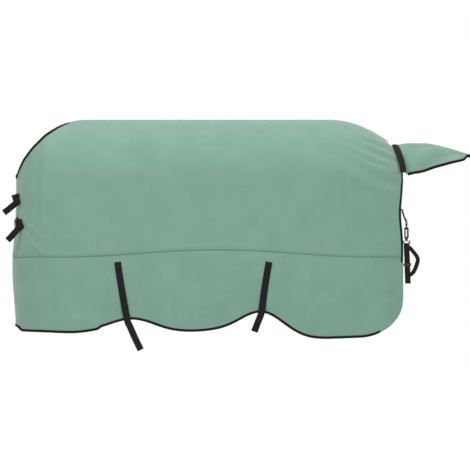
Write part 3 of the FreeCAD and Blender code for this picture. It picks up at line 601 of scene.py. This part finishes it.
for name, side in SIDES.items():
    x, z = upper_grid(0.006)
    points, normal = on_drape(x, z, side, lap_ridge(x, z))
    points[:, 0, 1] = np.where(x[:, 0] > -HALF_BACK, 0.0002 * side, points[:, 0, 1])
    upper = shell(f"{name}_upper_cloth", points, normal, FLEECE)
    fold_flap(upper)
    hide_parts(f"{name}_side_panel", f"{name}_chest_panel")

    low_x = column_x(U, np.full(U.shape, SKIRT_LEVEL))
    v = np.linspace(0, 1, ROWS // 2)[None, :]
    top = seam_line(low_x)[:, None] + 0.010
    z = top + (hem_line(low_x)[:, None] + 0.002 - top) * v
    x = column_x(U[:, None] + 0 * z, z)
    tuck = bump(0, 0.014, z - seam_line(x) - 0.006)
    points, normal = on_drape(x, z, side, -0.0030 * tuck - 0.0008)
    skirt = shell(f"{name}_skirt_cloth", points, normal, FLEECE)
    fold_flap(skirt)
    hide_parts(f"{name}_skirt", f"{name}_chest_skirt")

    # lap seam: two rows of stitching
    line_u = np.linspace(FIRST_U, 0.990, 700)
    line_x = column_x(line_u, np.full(line_u.shape, SEAM_LEVEL))
    rows = []
    for row, offset in enumerate((0.0, 0.007)):
        line_z = seam_line(line_x) + offset - 0.001
        path, normal = on_drape(line_x, line_z, side, lap_ridge(line_x, line_z) + 0.0002)
        sewn = stitches(f"{name}_lap_stitches_{row}", path, normal, GREEN_THREAD)
        fold_flap(sewn)
        rows.append(sewn)

    # hem
    hem_u = np.concatenate([line_u[line_u < 0.86], 1 - 0.14 * np.linspace(1, 0.02, 200) ** 2])
    hem_x = column_x(hem_u, np.full(hem_u.shape, HEM_LEVEL))
    turned = smooth(0.640, 0.700, hem_x)
    hem, inner, normal = edge_tape(f"{name}_hem_tape", hem_x, hem_line(hem_x) + 0.004 * turned, side, -side,
                                   lift=-0.005 * turned)
    fold_flap(hem)
    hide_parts(f"{name}_hem_binding", f"{name}_chest_hem_binding")
    hem_sewn = stitches(f"{name}_hem_stitches", inner, normal, BLACK_THREAD, thick=0.0008)
    fold_flap(hem_sewn)

    # rear edge, from the dock down to the rounded corner
    rear_z = np.linspace(-0.232, hem_line(np.array(REAR_X - 0.0005)) - 0.012, 160)
    turned = smooth(-0.615, -0.650, rear_z)
    rear_x = rear_line(rear_z) - 0.001 - 0.004 * turned
    rear, inner, normal = edge_tape(f"{name}_rear_tape", rear_x, rear_z, side, side, lift=-0.005 * turned)
    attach(rear, "rug")
    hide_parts(f"{name}_rear_binding")
    rear_sewn = stitches(f"{name}_rear_stitches", inner, normal, BLACK_THREAD, thick=0.0008)
    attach(rear_sewn, "rug")

    # neck rim
    rim_u = np.linspace(FIRST_U, 0, 240)
    to_withers = np.linspace(FLAP_X + 0.001, -HALF_BACK - 0.001, 60)
    rim_x = np.concatenate([column_x(rim_u, np.full(240, RIM_LEVEL)), to_withers])
    rim = edge_tape(f"{name}_neck_tape", rim_x, neck_line(rim_x) - 0.001, side, side,
                    width=0.017, thick=CLOTH + 0.0055)[0]
    fold_flap(rim)
    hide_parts(f"{name}_neck_binding", f"{name}_chest_neck_binding")

    # front edge, down the middle of the chest
    front_z = np.linspace(neck_line(np.array(CHEST_X + 0.004)), hem_line(np.array(CHEST_X + 0.004)), 160)
    front_x = chest_line(front_z) + CHEST_RADIUS * (1 - math.cos(0.0065))
    front = edge_tape(f"{name}_front_tape", front_x, front_z, side, -side, lift=-0.0028)[0]
    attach(front, f"{name}_chest_flap")
    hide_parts(f"{name}_chest_binding")
    sheets[name] = (upper, skirt, rows + [hem, hem_sewn, rear, rear_sewn, rim, front])

# ------------------------------------------------------------------ spine seam, dock band, tail flap
spine_x = np.linspace(-HALF_BACK + 0.002, HALF_BACK - 0.020, 200)
spine_v = np.linspace(-1, 1, 9)
grid_x, grid_v = np.meshgrid(spine_x, spine_v, indexing="ij")
ridge = back_line(grid_x) - (SPINE_HALF * grid_v) ** 2 / (2 * BACK_RADIUS) + 0.0012 * (1 - grid_v ** 4)
spine_points = np.stack([grid_x, SPINE_HALF * grid_v, ridge - 0.001], axis=-1)
up = np.zeros(spine_points.shape)
up[..., 2] = 1
spine = shell("spine_tape", spine_points, up, FLEECE, 0.003)
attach(spine, "rug")
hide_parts("spine_seam")
for row in NEAR, FAR:
    path = np.stack([spine_x, np.full(spine_x.shape, 0.0052 * row), back_line(spine_x) - 0.0004], axis=-1)
    sewn = stitches(f"spine_stitches_{'near' if row < 0 else 'far'}", path, (0, 0, 1), GREEN_THREAD)
    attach(sewn, "rug")

DOCK_TOP = float(back_line(np.array(HALF_BACK))) + 0.002
turn, share = np.meshgrid(np.linspace(-1, 1, 81), np.linspace(0, 1, 7), indexing="ij")
z = DOCK_TOP - DOCK_DROP * (1 - np.cos(turn * math.pi / 2))
x = rear_line(z) - BINDING + DOCK_WIDE * share
y = np.sign(turn) * half_width(x, z) * rounding(DOCK_TOP - z, BACK_RADIUS)
points = np.stack([x, y, z], axis=-1)
normal = normals_of(points)
points = points + normal * (0.0014 * np.sin(np.pi * share) + 0.0006)[..., None]
dock = shell("dock_tape", points, normal, WEBBING, 0.0045)
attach(dock, "rug")
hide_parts("dock_band")
for row in (1, 5):
    path = points[:, row] + normal[:, row] * 0.0002
    sewn = stitches(f"dock_stitches_{row}", path, normal[:, row], BLACK_THREAD)
    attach(sewn, "rug")


def tail_point(u, v):
    """The tail flap: u from root to tip, v from the near to the far edge."""
    turn = math.pi / 2 * v
    u = u * (1 - 0.10 * np.abs(v) ** 5)
    droop = np.maximum(0, (u - TAIL_BEND) / 0.6) ** 1.3
    ridge = DOCK_TOP + 0.007 - 0.009 * (1 - smooth(-0.1, 0.15, u)) - 0.052 * droop
    height = 0.008 + 0.125 * (1 - np.maximum(0, u) ** 1.8)
    z = ridge - height * (1 - np.cos(turn))
    root_drop = DOCK_DROP * (1 - np.cos(turn))
    root_x = rear_line(DOCK_TOP - root_drop) - BINDING + 0.024 + 0.003
    x = root_x + (HALF_BACK + TAIL_REACH - root_x) * u
    y = 0.82 * half_width(np.full_like(u, REAR_X), np.full_like(u, -0.100)) * rounding(root_drop, BACK_RADIUS)
    return np.stack([x, np.sign(v) * y * (1 - 0.35 * u), z], axis=-1)


def tail_surface(u, v):
    """The tail flap with its soft folds."""
    points = tail_point(u, v)
    step = 1e-3
    normal = np.cross(tail_point(u + step, v) - tail_point(u - step, v),
                      tail_point(u, v + step) - tail_point(u, v - step))
    normal = normal / np.maximum(np.linalg.norm(normal, axis=-1, keepdims=True), 1e-12)
    folds = 0.0055 * np.sin(9 * np.abs(v) + 7 * u) * smooth(0.02, 0.3, u) * smooth(0.1, 0.4, np.abs(v))
    folds = folds + 0.0025 * ripple(u, v, 2.4, 5.3)
    return points + normal * folds[..., None], normal


u, v = np.meshgrid(np.linspace(0, 0.995, 90), np.linspace(-0.99, 0.99, 101), indexing="ij")
points, normal = tail_surface(u, v)
tail = shell("tail_flap_cloth", points, normal, FLEECE)
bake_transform(tail)
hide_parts("tail_flap")
out_u = np.concatenate([np.linspace(0.03, 1, 60), np.ones(70), np.linspace(1, 0.03, 60)])
out_v = np.concatenate([np.full(60, -1.0), np.linspace(-1, 1, 70), np.full(60, 1.0)])
edge, normal = tail_surface(out_u, out_v)
keep = np.concatenate([[True], np.linalg.norm(np.diff(edge, axis=0), axis=1) > 1e-5])
edge, normal = edge[keep], normal[keep]
for _ in range(3):
    edge[1:-1] = (edge[:-2] + 2 * edge[1:-1] + edge[2:]) / 4
tangent = np.gradient(edge, axis=0)
tangent /= np.linalg.norm(tangent, axis=1, keepdims=True)
across = np.cross(tangent, normal)
across /= np.linalg.norm(across, axis=1, keepdims=True)
tail_tape = swept("tail_tape", edge - normal * 0.002, across, normal, rounded_section(0.0135, 0.0085), TAPE)
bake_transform(tail_tape)
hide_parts("near_tail_binding", "far_tail_binding", "tail_tip_binding")


# ------------------------------------------------------------------ near belly straps
WIDE, LIGHT, THICK = 0.030, 0.022, 0.0022
BELLY_REACH = 0.296
STRAP_CLEAR = 0.0016


def face_y(x, z, side):
    """How far out the cloth stands at a place of the side view."""
    return float(np.abs(on_drape(np.array([x]), np.array([z]), side)[0][0, 1]))


def near_route(points, clear):
    """Lay a route over the cloth while it is above the hem, and let it hang straight below."""
    laid = []
    for x, z in points:
        hem = float(hem_line(np.array(x)))
        y = max(face_y(x, max(z, hem + 0.01), NEAR), BELLY_REACH) + clear
        laid.append((x, NEAR * y, z))
    return laid


FINE = {"length": 0.0036, "gap": 0.0016, "thick": 0.0009}


def box_stitch(name, middle, along, across, normal, length, width, body):
    """A sewn box with a cross, flat on a strap."""
    middle, along, across, normal = (np.array(a, float) for a in (middle, along, across, normal))
    corners = [middle + along * a * length / 2 + across * b * width / 2
               for a, b in ((-1, -1), (1, -1), (1, 1), (-1, 1))]
    for number, (a, b) in enumerate(((0, 1), (1, 2), (2, 3), (3, 0), (0, 2), (1, 3))):
        path = np.linspace(corners[a], corners[b], 12)
        sewn = stitches(f"{name}_{number}", path, normal, BLACK_THREAD, **FINE)
        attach(sewn, body)


BELLY_ROUTES = {
    "front": [(-0.501, -0.628), (-0.488, -0.715), (-0.474, -0.800), (-0.457, -0.888), (-0.447, -0.912),
              (-0.426, -0.960), (-0.398, -1.019)],
    "rear": [(0.172, -0.628), (0.159, -0.705), (0.148, -0.780), (0.141, -0.838), (0.136, -0.862),
             (0.121, -0.900), (0.107, -0.938)],
}
for place, route in BELLY_ROUTES.items():
    body = f"{place}_belly_strap"
    web = strap(body + "_web", near_route(route, STRAP_CLEAR), (0, -1, 0), WIDE, THICK, WEBBING, 10)
    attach(web, body)
    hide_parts(body)
    (ax, az), (bx, bz) = route[0], route[1]
    along = np.array([bx - ax, 0, bz - az]) / math.hypot(bx - ax, bz - az)
    across = np.array([along[2], 0, -along[0]])
    y = -max(face_y(ax, az, NEAR), BELLY_REACH) - STRAP_CLEAR - THICK / 2 - 0.0001
    middle = np.array([ax, y, az]) + along * 0.022
    box_stitch(f"{place}_belly_box", middle, along, across, (0, -1, 0), 0.030, 0.021, body)


# ------------------------------------------------------------------ straps wrapped round a bar
def wrapped_strap(name, at, axes, length, width, notch, material, end_lift, bar=0.0019):
    """Webbing folded round a bar at `at`, with a notch for the prong. axes are the bar's direction,
    the way the face looks and the way the strap leads off. Both layers lead off together."""
    bar_way, face, lead = (np.array(a, float) for a in axes)
    radius = bar + THICK / 2 + 0.0003
    turns = np.linspace(-math.pi / 2, math.pi / 2, 13)
    loop = [at - lead * radius * math.cos(t) - face * radius * math.sin(t) for t in turns]
    outer_leg = [at + face * (radius * (1 - s) + 0.0026 * s) + lead * length * s
                 for s in (0.9, 0.5, 0.25, 0.08)]
    inner_leg = [at - face * (radius * (1 - s) + end_lift * s) + lead * length * s
                 for s in (0.08, 0.25, 0.5, 1.0)]
    pieces = []
    path = outer_leg + loop + inner_leg
    path_out = [face] * 4 + [-(lead * math.cos(t) + face * math.sin(t)) for t in turns] + [-face] * 4
    wide = (width - notch) / 2
    for label, sign in (("left", -1), ("right", 1)):
        shift = bar_way * sign * (width - wide) / 2
        pieces.append(strap(f"{name}_{label}", [p + shift for p in path], path_out, wide, THICK, material, 3))
    for label, sign, leg in (("face", 1, outer_leg[:3]), ("back", -1, inner_leg[1:])):
        pieces.append(strap(f"{name}_{label}", [p + face * 0.0001 * sign for p in leg], face,
                            notch + 0.0012, THICK - 0.0002, material, 4))
    return pieces


LOOP_WIDE, NOTCH = 0.026, 0.0064
FAR_BELLY = {"front": (-0.474, -0.628, -0.856), "rear": (0.150, -0.628, -0.800)}
for place, (x, top, bar_z) in FAR_BELLY.items():
    body = f"{place}_far_belly_strap"
    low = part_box(body)[0]
    bar = np.array([x, low.y + 0.0043, bar_z])
    pieces = wrapped_strap(body + "_web", bar, ((1, 0, 0), (0, 1, 0), (0, 0, 1)), top - bar_z,
                           LOOP_WIDE, NOTCH, WEBBING, end_lift=0.0012)
    for piece in pieces:
        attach(piece, body)
    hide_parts(body)
    box_stitch(f"{place}_far_box", (x, bar[1] + 0.0040, bar_z + 0.150), (0, 0, 1), (1, 0, 0), (0, 1, 0),
               0.026, 0.018, body)


# ------------------------------------------------------------------ chest closure
CHEST_STRAPS = {
    "upper": {"patch": (-0.326, -0.376), "root": [(-0.9595, -0.327), (-0.9530, -0.348), (-0.9465, -0.371)],
              "route": [(-0.947, -0.358), (-0.958, -0.369), (-0.972, -0.381), (-0.990, -0.396),
                        (-1.008, -0.409)]},
    "lower": {"patch": (-0.430, -0.482), "root": [(-0.9450, -0.440), (-0.9380, -0.460), (-0.9310, -0.482)],
              "route": [(-0.932, -0.468), (-0.944, -0.481), (-0.957, -0.495), (-0.975, -0.515),
                        (-0.991, -0.532)]},
}
BUCKLE_TURN = math.radians(22)


def flap_x(turn, z):
    """Fore and aft place on the chest's round."""
    reach = (FLAP_X - chest_line(z)) * (1 - np.cos(turn)) / (1 - math.cos(FLAP_TURN))
    return chest_line(z) + reach


for place, route in CHEST_STRAPS.items():
    top, bottom = route["patch"]
    turn, z = np.meshgrid(np.linspace(0.19, 0.37, 14), np.linspace(top, bottom, 12), indexing="ij")
    points, normal = on_drape(flap_x(turn, z), z, NEAR, 0.0022)
    patch = shell(f"{place}_patch_web", points, normal, WEBBING, 0.0024)
    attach(patch, "near_chest_flap")
    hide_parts(f"{place}_strap_patch")
    for number, row in enumerate((1, -2)):
        sewn = stitches(f"{place}_patch_stitches_{number}", points[:, row] + normal[:, row] * 0.0003,
                        normal[:, row], BLACK_THREAD, **FINE)
        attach(sewn, "near_chest_flap")

    body = f"{place}_chest_strap"
    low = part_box(body)[0]
    laid = [(x, low.y + 0.0008 - 0.0016 * math.sin(i * 1.3), z) for i, (x, z) in enumerate(route["route"])]
    web = strap(body + "_web", laid, (0, -1, 0), 0.028, THICK, WEBBING, 10)
    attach(web, body)
    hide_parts(body)

    root = strap(body + "_root", [(x, low.y - 0.0022, z) for x, z in route["root"]], (0, -1, 0), 0.031, THICK,
                 WEBBING, 6)
    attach(root, "near_chest_flap")

    middle = (top + bottom) / 2
    spot = [np.array(side_points(flap_x(BUCKLE_TURN + d, np.array(middle)), np.array(middle), FAR))
            for d in (-0.02, 0, 0.02)]
    along = (spot[2] - spot[0]) / np.linalg.norm(spot[2] - spot[0])
    face = np.array([-along[1], along[0], 0])
    bar = spot[1] + face * 0.0083
    pieces = wrapped_strap(f"{place}_tab_web", bar, ((0, 0, 1), face, along), 0.048,
                           LOOP_WIDE, NOTCH, WEBBING, end_lift=0.0030)
    for piece in pieces:
        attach(piece, "far_chest_flap")
    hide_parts(f"{place}_buckle_tab")
    ring = [(-0.0155, 0.0), (-0.0155, 0.0048), (0, 0.0056), (0.0155, 0.0048), (0.0155, 0.0),
            (0, -0.0006), (-0.0155, 0.0)]
    middle_at = bar + along * 0.029 + face * 0.0004
    path = [middle_at + np.array([0, 0, a]) + face * b for a, b in ring]
    looks = [np.array([0, 0, a]) * 40 + face * (b - 0.002) * 400 for a, b in ring]
    keeper = strap(f"{place}_keeper_web", path, looks, 0.010, 0.0012, WEBBING, 6)
    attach(keeper, "far_chest_flap")
    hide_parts(f"{place}_strap_keeper")


# ------------------------------------------------------------------ hind leg straps
for name, side in SIDES.items():
    low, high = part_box(f"{name}_leg_ring")
    ring_x, ring_y = (low.x + high.x) / 2, (low.y + high.y) / 2
    ring_z = high.z - 0.0018
    offset = 0.0018 + THICK / 2 + 0.0002
    turns = np.linspace(0, -math.pi, 9)
    outer = [(-0.0190, 0.070), (-0.0130, 0.048), (-0.0065, 0.030), (-0.0005, 0.016), (0.0022, 0.008),
             (offset, 0.002)]
    loop = [(offset * math.cos(t), offset * math.sin(t)) for t in turns]
    inner = [(-offset, 0.002), (-0.0014, 0.008), (-0.0031, 0.016), (-0.0091, 0.030), (-0.0156, 0.048),
             (-0.0216, 0.070)]
    facing = [(1, 0, 0.3)] * 6 + [(math.cos(t), 0, math.sin(t)) for t in turns] + [(-1, 0, -0.3)] * 6
    path = [(ring_x + a, ring_y, ring_z + b) for a, b in outer + loop + inner]
    tab = strap(f"{name}_leg_tab_web", path, facing, LIGHT, THICK, WEBBING, 4)
    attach(tab, "rug")
    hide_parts(f"{name}_leg_tab")
    box_stitch(f"{name}_leg_tab_box", (ring_x + offset + 0.0012, ring_y, ring_z + 0.020), (0, 0, 1),
               (0, 1, 0), (1, 0, 0), 0.014, 0.015, "rug")

    body = f"{name}_leg_strap"
    low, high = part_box(f"{name}_swivel_eye")
    eye = np.array([(low.x + high.x) / 2, (low.y + high.y) / 2, low.z + 0.0018])
    fall = [(0.0022, -0.010), (0.0015, -0.030), (0.0035, -0.080), (0.0052, -0.130), (0.0070, -0.176)]
    web = strap(f"{name}_leg_web", [(eye[0] + a, eye[1], eye[2] + b) for a, b in fall], (0, side, 0),
                LIGHT, THICK, WEBBING, 8)
    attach(web, body)
    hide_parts(body)
    turns = np.linspace(-math.pi * 0.45, math.pi * 1.45, 17)
    wrap = [eye + np.array([0, 0.0032 * math.cos(t), 0.0032 * math.sin(t)]) for t in turns]
    wrap_out = [(0, math.cos(t), math.sin(t)) for t in turns]
    tail_a = [eye + np.array([0.0015, 0.0016, -0.026]), eye + np.array([0.0005, 0.0019, -0.012])]
    tail_b = [eye + np.array([0.0005, -0.0019, -0.012]), eye + np.array([0.0015, -0.0016, -0.026])]
    facing = [(0, 1, 0)] * 2 + wrap_out + [(0, -1, 0)] * 2
    round_bar = strap(f"{name}_leg_eye_web", tail_a + wrap + tail_b, facing, LIGHT, THICK * 0.8, WEBBING, 3)
    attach(round_bar, body)
    slack = [(0.004, -0.008), (0.016, -0.018), (0.030, -0.034), (0.044, -0.052), (0.0505, -0.066),
             (0.0495, -0.080), (0.043, -0.100), (0.036, -0.117), (0.026, -0.131), (0.012, -0.140)]
    path = [(eye[0] + a, eye[1] + side * (0.0016 + 0.0012 * math.sin(i)), eye[2] + b)
            for i, (a, b) in enumerate(slack)]
    second = strap(f"{name}_leg_slack_web", path, (0, side, 0), 0.015, 0.0018, WEBBING, 6)
    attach(second, body)
    box_stitch(f"{name}_leg_box", eye + np.array([0.0066, side * 0.0012, -0.160]), (0.02, 0, -1),
               (1, 0, 0.02), (0, side, 0), 0.014, 0.014, body)

# ------------------------------------------------------------------ CAD nodes that stay
STEEL_NODES = [f"{place}_{part}" for place in ("front", "rear") for part in ("belly_buckle", "belly_prong")]
STEEL_NODES += [f"{place}_{part}" for place in ("upper", "lower") for part in ("chest_buckle", "chest_prong")]
LEG_PARTS = ("leg_ring", "snap_hook", "hook_gate", "swivel_eye")
STEEL_NODES += [f"{name}_{part}" for name in SIDES for part in LEG_PARTS]
for label in STEEL_NODES:
    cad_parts[label].data.materials.clear()
    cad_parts[label].data.materials.append(STEEL)
for label in [f"{name}_{part}" for name in SIDES for part in ("leg_ring", "snap_hook", "hook_gate")]:
    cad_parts[label].data.materials[0] = DARK_STEEL
for name in SIDES:
    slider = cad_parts[f"{name}_strap_slider"]
    slider.data.materials.clear()
    slider.data.materials.append(PLASTIC)

# ------------------------------------------------------------------ sheets
for name in SIDES:
    upper, skirt, trims = sheets[name]


# ------------------------------------------------------------------ studio
SKY_LIGHT = 0.44
FLOOR_REACH = 60
FLOOR_SIDES = 96


def seen_directly(tree, low, high):
    """low to the light that falls on things, high to the camera."""
    seen = node(tree, "ShaderNodeLightPath").outputs["Is Camera Ray"]
    return node(tree, "ShaderNodeMapRange", {"Value": seen}, To_Min=low, To_Max=high).outputs["Result"]


def studio_nodes(tree, shader):
    """White paper with the faintest tooth, lit a little more than the object."""
    place = node(tree, "ShaderNodeTexCoord").outputs["Object"]
    tooth = node(tree, "ShaderNodeTexNoise", {"Vector": place}, Scale=3.0, Detail=3.0)
    tree.links.new(two_tones(tree, tooth.outputs["Fac"], (0.76, 0.76, 0.76), (0.80, 0.80, 0.80)),
                   shader.inputs["Base Color"])
    tree.links.new(seen_directly(tree, 0.0, 0.68), shader.inputs["Emission Strength"])


PAPER = finish_of("studio_paper", studio_nodes, Roughness=0.9, Emission_Color=(1, 1, 1, 1))
low, high = cad_box
middle = (low + high) / 2
FLOOR_Z = low.z - 0.42
verts, faces = [(0, 0, FLOOR_Z)], []
for number in range(FLOOR_SIDES):
    turn = number * 2 * math.pi / FLOOR_SIDES
    verts.append((FLOOR_REACH * math.cos(turn), FLOOR_REACH * math.sin(turn), FLOOR_Z))
    faces.append((0, number + 1, (number + 1) % FLOOR_SIDES + 1))
floor = make_piece("studio_floor", verts, faces, PAPER)


def soft_light(name, at, target, size, power):
    """A large square light that looks at a point."""
    lamp = bpy.data.lights.new(name, "AREA")
    lamp.size, lamp.energy = size, power
    holder = bpy.data.objects.new(name, lamp)
    bpy.context.scene.collection.objects.link(holder)
    holder.location = at
    holder.rotation_euler = (Vector(target) - Vector(at)).to_track_quat("-Z", "Y").to_euler()


soft_light("key_light", (-2.6, -4.0, 3.2), middle, 3.0, 148)
soft_light("fill_light", (3.4, -4.5, 1.2), middle, 4.0, 66)
soft_light("top_light", (0.3, 0.6, 3.6), middle, 3.0, 62)
world = bpy.data.worlds.new("studio_world")
world.use_nodes = True
sky = world.node_tree.nodes["Background"]
sky.inputs["Color"].default_value = (1, 1, 1, 1)
world.node_tree.links.new(seen_directly(world.node_tree, SKY_LIGHT, 1.0), sky.inputs["Strength"])
bpy.context.scene.world = world
bpy.context.scene.view_settings.view_transform = "Standard"

camera_data = bpy.data.cameras.new("main_camera")
camera_data.lens = 1722
camera_data.clip_end = 400
camera = bpy.data.objects.new("main_camera", camera_data)
bpy.context.scene.collection.objects.link(camera)
camera.location = (0.021, -100.2, -0.508)
camera.rotation_euler = (math.pi / 2, 0, 0)
bpy.context.scene.camera = camera
